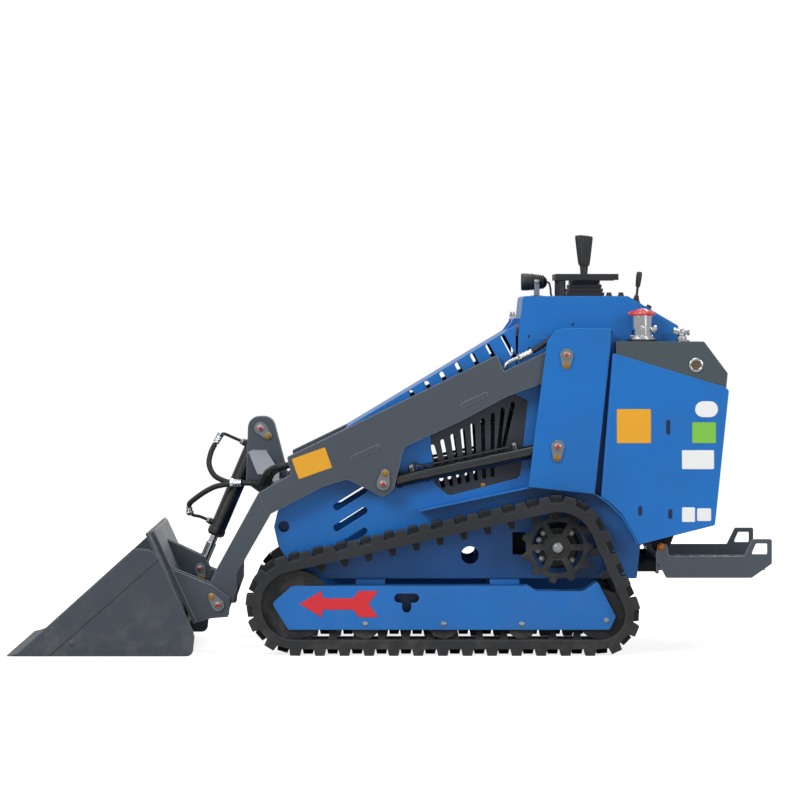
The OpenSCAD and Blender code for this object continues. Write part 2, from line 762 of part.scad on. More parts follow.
module attach_ears() {
    color(grey) both_sides() {
        union() {
            for (y = [[arm_y0 - 17, arm_y0 - hinge_gap - 2], [arm_y1 + hinge_gap + 2, arm_y1 + 17]])
                plate([attach_face, attach_face + 178 * back_along, bucket_pivot + [-15, 60, 20],
                       bucket_pivot + [36, 24, 30], bucket_pivot + [30, -36, 30], bucket_pivot + [-20, -40, 20]],
                      y[0], y[1]);
            rod_across(bucket_pivot, bucket_pin_r, arm_y0 - 17, arm_y1 + 17);
        }
        plate([attach_face + 60 * back_along, attach_face + 260 * back_along, tilt_eye + [16, 36, 20],
               tilt_eye + [34, -10, 20], tilt_eye + [20, -40, 20]],
              rod_eye_w / 2 + hinge_gap, rod_eye_w / 2 + hinge_gap + ear_t);
    }
}

bucket_tip = [-1160.8, 0];
bucket_heel_r = 110;
// Where the back line meets the ground
bucket_heel = back_low - back_along * back_low[1] / back_along[1];
module bucket() {
    inner = bucket_w / 2 - bucket_side_t;
    color(grey) union() {
        sheet([back_high, [bucket_heel[0], bucket_heel[1], bucket_heel_r], bucket_tip + [60, 0]],
              -bucket_sheet, -inner, inner);
        plate([bucket_tip, bucket_tip + [0, 3], bucket_tip + [60, edge_t], bucket_tip + [150, edge_t],
               bucket_tip + [160, 0]], -inner, inner);
        both_sides()
            plate([bucket_tip, [-1125, 12.7], [-776.4, 326.3, 15], [-731.1, 323.3, 10], [-710, 311.2],
                   back_low, [-593.9, 59.7, 20], [-600, 0, 20]], inner, bucket_w / 2);
    }
}

mirror([0, 1, 0]) chassis_side();  // chassis_side_left
chassis_side();  // chassis_side_right
belly_frame();
front_cross_tube();
engine_block();
mirror([0, 1, 0]) track_frame();  // track_frame_left
track_frame();  // track_frame_right
mirror([0, 1, 0]) track();  // track_left
track();  // track_right
mirror([0, 1, 0]) sprocket();  // sprocket_left
sprocket();  // sprocket_right
drive_motors();
front_idlers();
rear_idlers();
track_rollers();
mirror([0, 1, 0]) tower();  // tower_left
tower();  // tower_right
tower_pins();
track_guards();
side_grilles();
hood();
console();
mirror([0, 1, 0]) rear_panel();  // rear_panel_left
rear_panel();  // rear_panel_right
rear_cover();
mirror([0, 1, 0]) tank();  // tank_left
tank();  // tank_right
filler_cap();
breather_fitting();
control_levers();
guard_bar();
work_lamp();
throttle_lever();
platform();
platform_mounts();
platform_shaft();
mirror([0, 1, 0]) lift_arm();  // lift_arm_left
lift_arm();  // lift_arm_right
arm_cross_frame();
lift_barrels();
lift_rods();
tilt_barrel();
tilt_rod();
quick_attach();
attach_ears();
bucket();
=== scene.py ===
# Dresses the mini track loader: finishes for every solid, the small fittings that the solids leave
# out, and a plain pale studio with the camera on the machine's left side.
import math
import bmesh
import bpy
from mathutils import Matrix, Vector


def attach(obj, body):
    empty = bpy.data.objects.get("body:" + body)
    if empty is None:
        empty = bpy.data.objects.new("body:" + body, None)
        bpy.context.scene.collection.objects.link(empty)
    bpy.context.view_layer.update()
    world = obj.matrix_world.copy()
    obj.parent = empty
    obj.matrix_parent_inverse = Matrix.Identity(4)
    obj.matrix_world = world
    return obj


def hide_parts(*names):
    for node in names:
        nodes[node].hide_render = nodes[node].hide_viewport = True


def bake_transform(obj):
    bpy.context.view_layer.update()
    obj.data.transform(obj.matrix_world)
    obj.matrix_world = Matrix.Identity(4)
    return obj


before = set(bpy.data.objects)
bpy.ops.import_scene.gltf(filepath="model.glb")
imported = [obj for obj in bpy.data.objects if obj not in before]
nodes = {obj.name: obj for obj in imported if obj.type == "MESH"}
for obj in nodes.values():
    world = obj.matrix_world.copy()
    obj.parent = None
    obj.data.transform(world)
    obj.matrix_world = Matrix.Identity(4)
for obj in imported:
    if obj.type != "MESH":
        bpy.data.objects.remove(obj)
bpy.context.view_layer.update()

scene = bpy.context.scene

# Studio ---------------------------------------------------------------------------------------

# The camera looks along +Y from 14 m, and its shift keeps the machine low in the picture
CAMERA_AT = (0.0258, -14.005, 1.041)
CAMERA_LENS = 201.2
CAMERA_SHIFT = -0.111
MIRROR_SHARE = 0.15


def place_camera():
    lens = bpy.data.cameras.new("photo_camera")
    lens.sensor_width = 36
    lens.lens = CAMERA_LENS
    lens.shift_y = CAMERA_SHIFT
    lens.clip_end = 200
    camera = bpy.data.objects.new("photo_camera", lens)
    camera.location = CAMERA_AT
    camera.rotation_euler = (math.pi / 2, 0, 0)
    scene.collection.objects.link(camera)
    scene.camera = camera


def soft_lamp(name, at, size, power):
    light = bpy.data.lights.new(name, "AREA")
    light.shape = "DISK"
    light.size = size
    light.energy = power
    lamp = bpy.data.objects.new(name, light)
    lamp.location = at
    lamp.rotation_euler = (Vector((0, 0, 0.5)) - Vector(at)).to_track_quat("-Z", "Y").to_euler()
    scene.collection.objects.link(lamp)


def camera_like_rays(tree):
    """1 for rays that should see the white studio, from the camera or glass, and less for mirrors."""
    rays = tree.nodes.new("ShaderNodeLightPath")
    total = rays.outputs["Is Camera Ray"]
    for ray, share in (("Is Transmission Ray", 1.0), ("Is Glossy Ray", MIRROR_SHARE)):
        add = tree.nodes.new("ShaderNodeMath")
        add.operation = "MULTIPLY_ADD"
        add.use_clamp = True
        tree.links.new(rays.outputs[ray], add.inputs[0])
        add.inputs[1].default_value = share
        tree.links.new(total, add.inputs[2])
        total = add.outputs[0]
    return total


def light_world(ambient):
    world = bpy.data.worlds.new("studio")
    world.use_nodes = True
    tree = world.node_tree
    tree.nodes.clear()
    dim = tree.nodes.new("ShaderNodeBackground")
    dim.inputs["Color"].default_value = (1, 1, 1, 1)
    dim.inputs["Strength"].default_value = ambient
    white = tree.nodes.new("ShaderNodeBackground")
    white.inputs["Color"].default_value = (1, 1, 1, 1)
    white.inputs["Strength"].default_value = 1.0
    mix = tree.nodes.new("ShaderNodeMixShader")
    out = tree.nodes.new("ShaderNodeOutputWorld")
    tree.links.new(camera_like_rays(tree), mix.inputs[0])
    tree.links.new(dim.outputs[0], mix.inputs[1])
    tree.links.new(white.outputs[0], mix.inputs[2])
    tree.links.new(mix.outputs[0], out.inputs[0])
    scene.world = world


def floor_finish():
    material = bpy.data.materials.new("pale_floor")
    material.use_nodes = True
    tree = material.node_tree
    tree.nodes.clear()
    matt = tree.nodes.new("ShaderNodeBsdfDiffuse")
    matt.inputs["Color"].default_value = (0.45, 0.45, 0.45, 1)
    glow = tree.nodes.new("ShaderNodeEmission")
    glow.inputs["Color"].default_value = (1, 1, 1, 1)
    lift = tree.nodes.new("ShaderNodeMath")
    lift.operation = "MULTIPLY"
    lift.inputs[1].default_value = FLOOR_LIFT
    tree.links.new(camera_like_rays(tree), lift.inputs[0])
    tree.links.new(lift.outputs[0], glow.inputs["Strength"])
    both = tree.nodes.new("ShaderNodeAddShader")
    out = tree.nodes.new("ShaderNodeOutputMaterial")
    tree.links.new(matt.outputs[0], both.inputs[0])
    tree.links.new(glow.outputs[0], both.inputs[1])
    tree.links.new(both.outputs[0], out.inputs[0])
    return material


FLOOR_SIZE = 90
FLOOR_LIFT = 0.82


def lay_floor():
    bm = bmesh.new()
    bmesh.ops.create_grid(bm, x_segments=1, y_segments=1, size=FLOOR_SIZE)
    mesh = bpy.data.meshes.new("studio_floor")
    bm.to_mesh(mesh)
    bm.free()
    floor = bpy.data.objects.new("studio_floor", mesh)
    mesh.materials.append(floor_finish())
    scene.collection.objects.link(floor)


scene.view_settings.view_transform = "Standard"
place_camera()
light_world(0.42)
soft_lamp("key_light", (-4.5, -6.5, 5.0), 4.0, 400)
soft_lamp("fill_light", (5.5, -5.5, 3.0), 4.0, 190)
soft_lamp("top_light", (0, 0.5, 6.0), 5.0, 180)
soft_lamp("back_light", (2.0, 6.5, 4.0), 4.0, 200)
lay_floor()

# Finishes -------------------------------------------------------------------------------------


def tone(code):
    """The colour of an sRGB hex code as Blender's linear red, green, blue and alpha."""
    parts = [int(code[i:i + 2], 16) / 255 for i in (0, 2, 4)]
    return tuple(p / 12.92 if p <= 0.04045 else ((p + 0.055) / 1.055) ** 2.4 for p in parts) + (1.0,)


class Board:
    """A node tree with short words for the few nodes that the finishes use."""

    def __init__(self, tree):
        self.tree = tree

    def add(self, kind, **settings):
        node = self.tree.nodes.new(kind)
        for word, value in settings.items():
            setattr(node, word, value)
        return node

    def link(self, source, target):
        self.tree.links.new(source, target)

    def feed(self, node, **values):
        for word, value in values.items():
            socket = node.inputs[word.replace("_", " ")]
            if hasattr(value, "links"):
                self.link(value, socket)
            else:
                socket.default_value = value
        return node

    def noise(self, place, scale, detail=3.0, rough=0.55):
        node = self.add("ShaderNodeTexNoise")
        self.feed(node, Vector=place, Scale=scale, Detail=detail, Roughness=rough)
        return node.outputs["Fac"]

    def span(self, value, low, high, out_low=0.0, out_high=1.0):
        node = self.add("ShaderNodeMapRange", interpolation_type="SMOOTHSTEP")
        self.feed(node, Value=value, From_Min=low, From_Max=high, To_Min=out_low, To_Max=out_high)
        return node.outputs["Result"]

    def maths(self, operation, a, b):
        node = self.add("ShaderNodeMath", operation=operation, use_clamp=True)
        for socket, value in zip(node.inputs, (a, b)):
            if hasattr(value, "links"):
                self.link(value, socket)
            else:
                socket.default_value = value
        return node.outputs[0]

    def blend(self, share, a, b):
        node = self.add("ShaderNodeMix", data_type="RGBA")
        for socket, value in ((node.inputs[0], share), (node.inputs[6], a), (node.inputs[7], b)):
            if hasattr(value, "links"):
                self.link(value, socket)
            else:
                socket.default_value = value
        return node.outputs[2]


def new_group(name, inputs, outputs):
    tree = bpy.data.node_groups.new(name, "ShaderNodeTree")
    for label, kind, value in inputs:
        socket = tree.interface.new_socket(label, in_out="INPUT", socket_type=kind)
        if value is not None:
            socket.default_value = value
    for label, kind in outputs:
        tree.interface.new_socket(label, in_out="OUTPUT", socket_type=kind)
    board = Board(tree)
    return board, board.add("NodeGroupInput"), board.add("NodeGroupOutput")


def make_edge_group():
    """Rounded edges: a normal that turns softly over each edge, and a mask of the edges, where the finishes paint a
    highlight.
    """
    board, given, result = new_group(
        "rounded_edge", [("Radius", "NodeSocketFloat", 0.003)],
        [("Normal", "NodeSocketVector"), ("Highlight Edge", "NodeSocketFloat")])
    bevel = board.add("ShaderNodeBevel", samples=4)
    board.link(given.outputs["Radius"], bevel.inputs["Radius"])
    shape = board.add("ShaderNodeNewGeometry")
    dot = board.add("ShaderNodeVectorMath", operation="DOT_PRODUCT")
    board.link(bevel.outputs[0], dot.inputs[0])
    board.link(shape.outputs["Normal"], dot.inputs[1])
    board.link(bevel.outputs[0], result.inputs["Normal"])
    board.link(board.span(dot.outputs["Value"], 0.995, 0.86), result.inputs["Highlight Edge"])
    return board.tree


def make_patch_group():
    """Slow variation of a coat and a fine grain, from the piece's own coordinates."""
    board, given, result = new_group(
        "coat_patches",
        [("Patch Scale", "NodeSocketFloat", 3.0), ("Grain Scale", "NodeSocketFloat", 400.0)],
        [("Patch", "NodeSocketFloat"), ("Grain", "NodeSocketFloat")])
    place = board.add("ShaderNodeTexCoord").outputs["Object"]
    patch = board.noise(place, given.outputs["Patch Scale"], 4.0)
    grain = board.noise(place, given.outputs["Grain Scale"], 2.0)
    board.link(board.span(patch, 0.35, 0.65), result.inputs["Patch"])
    board.link(grain, result.inputs["Grain"])
    return board.tree


def make_dust_group():
    """Where dust has settled: low on the machine, in broken patches."""
    board, given, result = new_group(
        "settled_dust",
        [("Top", "NodeSocketFloat", 0.5), ("Amount", "NodeSocketFloat", 0.5)],
        [("Dust", "NodeSocketFloat")])
    place = board.add("ShaderNodeTexCoord").outputs["Object"]
    split = board.add("ShaderNodeSeparateXYZ")
    board.link(place, split.inputs[0])
    low = board.add("ShaderNodeMapRange", interpolation_type="SMOOTHSTEP")
    board.feed(low, Value=split.outputs["Z"], From_Min=given.outputs["Top"], From_Max=0.0,
               To_Min=0.0, To_Max=1.0)
    broken = board.span(board.noise(place, 14.0, 6.0, 0.7), 0.42, 0.7)
    share = board.maths("MULTIPLY", low.outputs["Result"], broken)
    board.link(board.maths("MULTIPLY", share, given.outputs["Amount"]), result.inputs["Dust"])
    return board.tree


EDGE_GROUP = make_edge_group()
PATCH_GROUP = make_patch_group()
DUST_GROUP = make_dust_group()
DUST_TONE = tone("8C8578")


def finish(name, colour, rough, shade=0.9, metal=0.0, coat=0.0, edge=None, edge_highlight_share=0.5,
           edge_radius=0.003, dust=0.0, dust_top=0.6, grain=0.0, grain_scale=400.0,
           patch_scale=3.0, rough_spread=0.08):
    """A painted, cast or moulded surface: colour drifting to a darker shade, a painted highlight on the edges,
    dust, grain.
    """
    material = bpy.data.materials.new(name)
    material.use_nodes = True
    board = Board(material.node_tree)
    surface = material.node_tree.nodes["Principled BSDF"]
    patches = board.add("ShaderNodeGroup", node_tree=PATCH_GROUP)
    board.feed(patches, Patch_Scale=patch_scale, Grain_Scale=grain_scale)
    edges = board.add("ShaderNodeGroup", node_tree=EDGE_GROUP)
    board.feed(edges, Radius=edge_radius)
    base = tone(colour)
    dark = tuple(c * shade for c in base[:3]) + (1.0,)
    skin = board.blend(patches.outputs["Patch"], base, dark)
    # Painted highlight: a lighter colour blended over the edges, standing in for the light they catch
    if edge:
        share = board.maths("MULTIPLY", edges.outputs["Highlight Edge"], edge_highlight_share)
        skin = board.blend(share, skin, tone(edge))
    rough_now = board.span(patches.outputs["Patch"], 0.0, 1.0, rough, rough + rough_spread)
    if dust:
        settled = board.add("ShaderNodeGroup", node_tree=DUST_GROUP)
        board.feed(settled, Top=dust_top, Amount=dust)
        skin = board.blend(settled.outputs["Dust"], skin, DUST_TONE)
        rough_now = board.maths("ADD", rough_now, settled.outputs["Dust"])
    board.link(skin, surface.inputs["Base Color"])
    board.link(rough_now, surface.inputs["Roughness"])
    surface.inputs["Metallic"].default_value = metal
    surface.inputs["Coat Weight"].default_value = coat
    surface.inputs["Coat Roughness"].default_value = 0.12
    bump = board.add("ShaderNodeBump")
    bump.inputs["Strength"].default_value = grain
    bump.inputs["Distance"].default_value = 0.0006
    board.link(patches.outputs["Grain"], bump.inputs["Height"])
    board.link(edges.outputs["Normal"], bump.inputs["Normal"])
    board.link(bump.outputs[0], surface.inputs["Normal"])
    return material


# Each finish's edge colour is a painted highlight along its edges
FINISHES = {
    "blue": finish("blue_gloss_paint", "046CBE", 0.3, shade=0.88, coat=0.2, edge="5F9FD8",
                   edge_highlight_share=0.45, dust=0.05, dust_top=0.45, grain=0.10, grain_scale=260),
    "dark_grey": finish("dark_grey_paint", "434C56", 0.38, shade=0.9, coat=0.15, edge="B4B9BE",
                        edge_highlight_share=0.7, edge_radius=0.004, grain=0.14, grain_scale=300),
    "bucket_grey": finish("bucket_grey_paint", "39414A", 0.42, shade=0.88, edge="A0A6AB",
                          edge_highlight_share=0.55, dust=0.16, dust_top=0.35, grain=0.18, grain_scale=260),
    "grille_grey": finish("grille_dark_paint", "2C343D", 0.42, shade=0.9, edge="7D848B",
                          edge_highlight_share=0.5, grain=0.14, grain_scale=300),
    "tank_grey": finish("tank_moulded_grey", "3D4A50", 0.5, shade=0.92, edge="8E9296",
                        edge_highlight_share=0.35, grain=0.3, grain_scale=500),
    "rubber": finish("track_rubber", "222428", 0.72, shade=0.8, edge="5A5D60", edge_highlight_share=0.5,
                     edge_radius=0.004, dust=0.18, dust_top=0.3, grain=0.6, grain_scale=160),
    "iron": finish("black_iron", "26282B", 0.42, shade=0.8, metal=0.3, edge="6D7176",
                   edge_highlight_share=0.5, dust=0.3, grain=0.3, grain_scale=220),
    "barrel": finish("barrel_gloss_black", "191B1E", 0.22, shade=0.9, coat=0.6, edge="54585C",
                     edge_highlight_share=0.3),
    "chrome": finish("hard_chrome", "D9DCDF", 0.1, shade=0.96, metal=1.0, rough_spread=0.05),
    "pin": finish("zinc_pin", "A9ACAF", 0.32, shade=0.9, metal=0.9, grain=0.1),
    "plastic": finish("black_moulding", "1B1C1E", 0.45, shade=0.9, edge="4A4C4E", edge_highlight_share=0.35,
                      edge_radius=0.002, grain=0.35, grain_scale=700),
    "engine": finish("engine_casting", "2B2D2F", 0.55, shade=0.75, metal=0.4, edge="777A7D",
                     edge_highlight_share=0.4, grain=0.5, grain_scale=180),
    "red": finish("red_moulding", "C01F22", 0.35, shade=0.9, coat=0.3, edge="E06A60",
                  edge_highlight_share=0.3, edge_radius=0.001),
    "brass": finish("yellow_zinc", "B98F45", 0.3, shade=0.85, metal=0.9, edge_radius=0.001),
    "yellow_plate": finish("yellow_film", "E7A51E", 0.35, shade=0.96, coat=0.3),
    "white_plate": finish("white_film", "EDEFEF", 0.35, shade=0.97, coat=0.3),
    "green_plate": finish("green_film", "7CC243", 0.35, shade=0.96, coat=0.3),
    # Lighter grey for the gussets: a painted highlight on the arms' dark grey paint where it faces the light
    "gusset_highlight_grey": finish("gusset_highlight_grey_paint", "868B91", 0.36, shade=0.92, edge="C8CBCE", grain=0.12),
    "keeper": finish("keeper_plate", "7E8386", 0.4, shade=0.85, metal=0.5, edge="C0C4C6", grain=0.1),
    "hose": finish("hose_rubber", "1A1B1D", 0.55, shade=0.85, edge_radius=0.001, grain=0.5,
                   grain_scale=900, dust=0.1),
    "lens": finish("lamp_glass", "C9D2D6", 0.08, shade=0.95, coat=1.0),
    "mesh_brown": finish("strainer_mesh", "6E5A48", 0.5, shade=0.6, metal=0.4, grain=1.0,
                         grain_scale=1200, patch_scale=260.0),
    # Dark navy for painted shade, laid as films where slots and holes are recessed
    "shadow_slot": finish("slot_shadow", "06203F", 0.7, shade=0.8),
    "rust": finish("worn_bolt", "B0672C", 0.45, shade=0.7, metal=0.5, patch_scale=90.0),
    "arrow_red": finish("red_film", "D6202A", 0.35, shade=0.95, coat=0.3),
}

# Which finish each solid takes
DRESS = {
    "blue": ["chassis_side_left", "chassis_side_right", "belly_frame", "front_cross_tube",
             "track_frame_left", "track_frame_right", "tower_left", "tower_right",
             "track_guards", "hood", "console", "rear_panel_left", "rear_panel_right",
             "rear_cover"],
    "dark_grey": ["lift_arm_left", "lift_arm_right", "arm_cross_frame", "quick_attach",
                  "platform", "attach_ears"],
    "grille_grey": ["side_grilles"],
    "bucket_grey": ["bucket"],
    "tank_grey": ["tank_left", "tank_right"],
    "rubber": ["track_left", "track_right", "platform_mounts"],
    "iron": ["sprocket_left", "sprocket_right", "drive_motors", "front_idlers",
             "rear_idlers", "track_rollers", "platform_shaft"],
    "barrel": ["lift_barrels", "tilt_barrel"],
    "chrome": ["lift_rods", "tilt_rod", "filler_cap", "breather_fitting"],
    "pin": ["tower_pins"],
    "plastic": ["control_levers", "guard_bar", "work_lamp", "throttle_lever"],
    "engine": ["engine_block"],
}
for finish_name, node_names in DRESS.items():
    for node_name in node_names:
        slots = nodes[node_name].data.materials
        slots.clear()
        slots.append(FINISHES[finish_name])

# Shapes, all in millimetres until a piece is kept -----------------------------------------------

MM = 0.001


def keep_piece(name, bm, finishes, body, smooth=35):
    """Makes a finished object of a bmesh; its faces' material numbers follow the finishes."""
    bmesh.ops.scale(bm, vec=(MM, MM, MM), verts=bm.verts)
    mesh = bpy.data.meshes.new(name)
    bm.to_mesh(mesh)
    bm.free()
    for word in finishes:
        mesh.materials.append(FINISHES[word])
    mesh.shade_smooth()
    mesh.set_sharp_from_angle(angle=math.radians(smooth))
    piece = bpy.data.objects.new(name, mesh)
    scene.collection.objects.link(piece)
    if body:
        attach(piece, body)
    return piece


def add_shape(bm, shape, number):
    """Moves a closed shape into a piece, its faces turned outwards and of one material number."""
    bmesh.ops.recalc_face_normals(shape, faces=shape.faces)
    for face in shape.faces:
        face.material_index = number
    mesh = bpy.data.meshes.new("shape")
    shape.to_mesh(mesh)
    shape.free()
    bm.from_mesh(mesh)
    bpy.data.meshes.remove(mesh)


def lathe(bm, profile, at, along, number=0, steps=32):
    """Turns a profile of (radius, height) round the direction along, with its foot at a point."""
    shape = bmesh.new()
    rim = [shape.verts.new((r, 0, h)) for r, h in profile]
    edges = [shape.edges.new(pair) for pair in zip(rim, rim[1:])]
    bmesh.ops.spin(shape, geom=rim + edges, cent=(0, 0, 0), axis=(0, 0, 1), angle=math.tau,
                   steps=steps, use_merge=True)
    bmesh.ops.remove_doubles(shape, verts=shape.verts, dist=0.001)
    turn = Vector((0, 0, 1)).rotation_difference(Vector(along).normalized()).to_matrix().to_4x4()
    bmesh.ops.transform(shape, matrix=Matrix.Translation(at) @ turn, verts=shape.verts)
    add_shape(bm, shape, number)


def slab(bm, points, y0, y1, number=0, bevel=0.0, segments=2):
    """A plate between two widths whose outline is given in side view as [x, z]."""
    shape = bmesh.new()
    near, far = ([shape.verts.new((x, y, z)) for x, z in points] for y in (y0, y1))
    shape.faces.new(near)
    shape.faces.new(far)
    for k in range(len(points)):
        shape.faces.new((near[k - 1], near[k], far[k], far[k - 1]))
    if bevel:
        sharp = [e for e in shape.edges if e.calc_face_angle(0) > math.radians(20)]
        bmesh.ops.bevel(shape, geom=sharp, offset=bevel, segments=segments, profile=0.5,
                        affect="EDGES", material=-1)
    add_shape(bm, shape, number)


def block(bm, low, high, number=0, bevel=0.0, segments=2):
    outline = [(low[0], low[2]), (high[0], low[2]), (high[0], high[2]), (low[0], high[2])]
    slab(bm, outline, low[1], high[1], number, bevel, segments)


def smooth_route(points, per=6):
    """Points on a smooth curve through the given ones."""
    spots = [Vector(p) for p in points]
    spots = [2 * spots[0] - spots[1]] + spots + [2 * spots[-1] - spots[-2]]
    route = []
    for a, b, c, d in zip(spots, spots[1:], spots[2:], spots[3:]):
        for k in range(per):
            t = k / per
            route.append(b + 0.5 * ((c - a) * t + (2 * a - 5 * b + 4 * c - d) * t * t
                                    + (3 * b - a - 3 * c + d) * t ** 3))
    return route + [spots[-2]]


def tube(bm, route, r, number=0, sides=12):
    """A round bar, pipe or hose along a route, with closed ends."""
    shape = bmesh.new()
    route = [Vector(p) for p in route]
    rings = []
    side = (route[1] - route[0]).orthogonal()
    for k, at in enumerate(route):
        ahead = (route[min(k + 1, len(route) - 1)] - route[max(k - 1, 0)]).normalized()
        side = (side - ahead * side.dot(ahead)).normalized()
        across = ahead.cross(side)
        rings.append([shape.verts.new(at + r * (math.cos(a) * side + math.sin(a) * across))
                      for a in (math.tau * j / sides for j in range(sides))])
    for low, high in zip(rings, rings[1:]):
        for j in range(sides):
            shape.faces.new((low[j - 1], low[j], high[j], high[j - 1]))
    shape.faces.new(rings[0])
    shape.faces.new(rings[-1])
    add_shape(bm, shape, number)


def bolt(bm, at, along, r, number, washer=None):
    """A hexagon head with a flange under it."""
    flange = [(0, 0), (r * 1.5, 0), (r * 1.5, r * 0.16), (r * 1.36, r * 0.3), (0, r * 0.3)]
    lathe(bm, flange, at, along, number if washer is None else washer, steps=24)
    head = Vector(at) + Vector(along) * r * 0.28
    lathe(bm, [(0, 0), (r, 0), (r, r * 0.66), (r * 0.86, r * 0.8), (0, r * 0.8)], head, along,
          number, steps=6)


def ferrule(bm, a, b, r, number):
    """A crimped sleeve between two points, with its hexagon nut at the first one."""
    a, b = Vector(a), Vector(b)
    length = (b - a).length
    along = (b - a) / length
    lathe(bm, [(0, -4), (r * 1.3, -4), (r * 1.3, 6), (0, 6)], a, along, number, steps=6)
    sleeve = [(0, 5), (r, 5)]
    for k in range(3):
        foot = 7 + k * (length - 8) / 3
        sleeve += [(r * 1.12, foot + 1), (r * 1.12, foot + (length - 8) / 3 - 3), (r, foot + (length - 8) / 3 - 2)]
    lathe(bm, sleeve + [(0, length)], a, along, number, steps=20)


def teardrop(a, b, ra, rb, steps=9):
    """The outline round two circles in side view, larger end first."""
    a, b = Vector(a), Vector(b)
    along = (b - a).normalized()
    lean = math.acos((ra - rb) / (b - a).length)
    heading = math.atan2(along.y, along.x)
    points = []
    for k in range(steps + 1):
        turn = heading + lean + (math.tau - 2 * lean) * k / steps
        points.append(a + ra * Vector((math.cos(turn), math.sin(turn))))
    for k in range(steps + 1):
        turn = heading - lean + 2 * lean * k / steps
        points.append(b + rb * Vector((math.cos(turn), math.sin(turn))))
    return [tuple(p) for p in points]


def rounded_box(low, high, r, steps=4):
    """A rectangle in side view with rounded corners."""
    points = []
    for k, (cx, cz) in enumerate(((high[0] - r, high[1] - r), (low[0] + r, high[1] - r),
                                  (low[0] + r, low[1] + r), (high[0] - r, low[1] + r))):
        for j in range(steps + 1):
            turn = math.pi / 2 * (k + j / steps)
            points.append((cx + r * math.cos(turn), cz + r * math.sin(turn)))
    return points


def filleted(points, steps=8):
    """An outline in side view whose points may have a third number, their corner's radius."""
    outline = []
    for k, point in enumerate(points):
        at = Vector(point[:2])
        if len(point) == 2:
            outline.append(tuple(at))
            continue
        back = (Vector(points[k - 1][:2]) - at).normalized()
        ahead = (Vector(points[(k + 1) % len(points)][:2]) - at).normalized()
        half = back.angle(ahead) / 2
        centre = at + (back + ahead).normalized() * point[2] / math.sin(half)
        reach = point[2] / math.tan(half)
        first, last = at + back * reach - centre, at + ahead * reach - centre
        start = math.atan2(first.y, first.x)
        sweep = (math.atan2(last.y, last.x) - start + math.pi) % math.tau - math.pi
        for j in range(steps + 1):
            a = start + sweep * j / steps
            outline.append((centre.x + point[2] * math.cos(a), centre.y + point[2] * math.sin(a)))
    return outline


def turned(points, centre, degrees):
    a = math.radians(degrees)
    return [(centre[0] + (x - centre[0]) * math.cos(a) - (z - centre[1]) * math.sin(a),
             centre[1] + (x - centre[0]) * math.sin(a) + (z - centre[1]) * math.cos(a))
            for x, z in points]


SIDES = ((-1, "_left"), (1, "_right"))

# Places shared with the solids
ARM_PIVOT = (533.6, 906.7)
LIFT_BASE = (506.7, 628)
LIFT_EYE = (-25.5, 513.9)
BUCKET_PIVOT = (-528.5, 145.2)
TILT_TOP = (-410.3, 675.7)
TILT_EYE = (-598.3, 236.8)
SPROCKET_AT = (504.4, 323.7)
TOWER_FACE = 380
ARM_FACE = 365
ATTACH_FACE = 382
FRAME_FACE = 466
PANEL_FACE = 395
TANK_FACE = 391
SIDE_FACE = 300
BUCKET_FACE = 525
CONSOLE_TOP = 1087.6
TANK_TOP = 948.7
TANK_MIDDLE = 345.5

# Pin keepers ------------------------------------------------------------------------------------

KEEPER_FINISHES = ["keeper", "pin", "red", "brass"]
KEEPER_PLATE = 6


def pin_keeper(bm, pin, screw, y, side, r):
    """A teardrop plate over a pin's end, with the grease cap on the pin and a screw beside it."""
    slab(bm, teardrop(pin, (pin[0] + screw[0], pin[1] + screw[1]), r, r * 0.62), side * y,
         side * (y + KEEPER_PLATE), 0, bevel=1.2)
    face = side * (y + KEEPER_PLATE)
    along = (0, side, 0)
    lathe(bm, [(0, 0), (r * 0.55, 0), (r * 0.55, 3), (r * 0.45, 4.5), (0, 4.5)],
          (pin[0], face, pin[1]), along, 1)
    lathe(bm, [(0, 0), (r * 0.34, 0), (r * 0.32, 3), (r * 0.16, 6), (0, 6.5)],
          (pin[0], face + side * 4.4, pin[1]), along, 2, steps=16)
    bolt(bm, (pin[0] + screw[0], face, pin[1] + screw[1]), along, r * 0.34, 3)


# Piece, its body, and the keepers on it: pin, screw from the pin, face, radius
KEEPERS = [
    ("tower_pin_keepers", "chassis", [(ARM_PIVOT, (-1, -31), TOWER_FACE, 20),
                                      (LIFT_BASE, (-2, -34), TOWER_FACE, 20)]),
    ("lift_eye_keeper", "lift_arms", [(LIFT_EYE, (6, 33), ARM_FACE, 20)]),
    ("bucket_pin_keepers", "bucket", [(BUCKET_PIVOT, (-20, 26), ATTACH_FACE, 19),
                                      (TILT_EYE, (6, -28), 33, 17)]),
    ("tilt_pin_keeper", "lift_arms", [(TILT_TOP, (24, -24), 38, 19)]),
]
for name, body, keepers in KEEPERS:
    for side, label in SIDES:
        bm = bmesh.new()
        for pin, screw, face, r in keepers:
            pin_keeper(bm, pin, screw, face, side, r)
        keep_piece(name + label, bm, KEEPER_FINISHES, body)

# Blank plates and the direction arrow -----------------------------------------------------------

FILM = 0.8
ARROW = [(-279, 155), (-212, 194), (-208, 172), (-117, 172), (-98, 194), (-40, 194), (-69, 155),
         (-40, 114), (-98, 114), (-117, 137), (-208, 137), (-212, 114)]
# Finish, low corner, high corner, corner radius
BLANKS = [("yellow_plate", (686, 639), (790, 743), 4), ("white_plate", (924, 718), (994, 767), 24),
          ("green_plate", (915, 639), (988, 703), 4), ("white_plate", (884, 560), (982, 618), 4),
          ("white_plate", (884, 399), (924, 444), 4), ("white_plate", (930, 402), (973, 441), 4)]
# Blank slots pressed in the panel, drawn as dark films of painted shade: middle, half height
PANEL_SLOTS = [((842.3, 687.8), 17), ((757.1, 433.3), 9), ((848.4, 423.9), 9)]
ARM_PLATE_AT = (-243, 577)


def film(name, points, face, side, word, body):
    bm = bmesh.new()
    slab(bm, points, side * face, side * (face + FILM), 0)
    keep_piece(name, bm, [word], body)


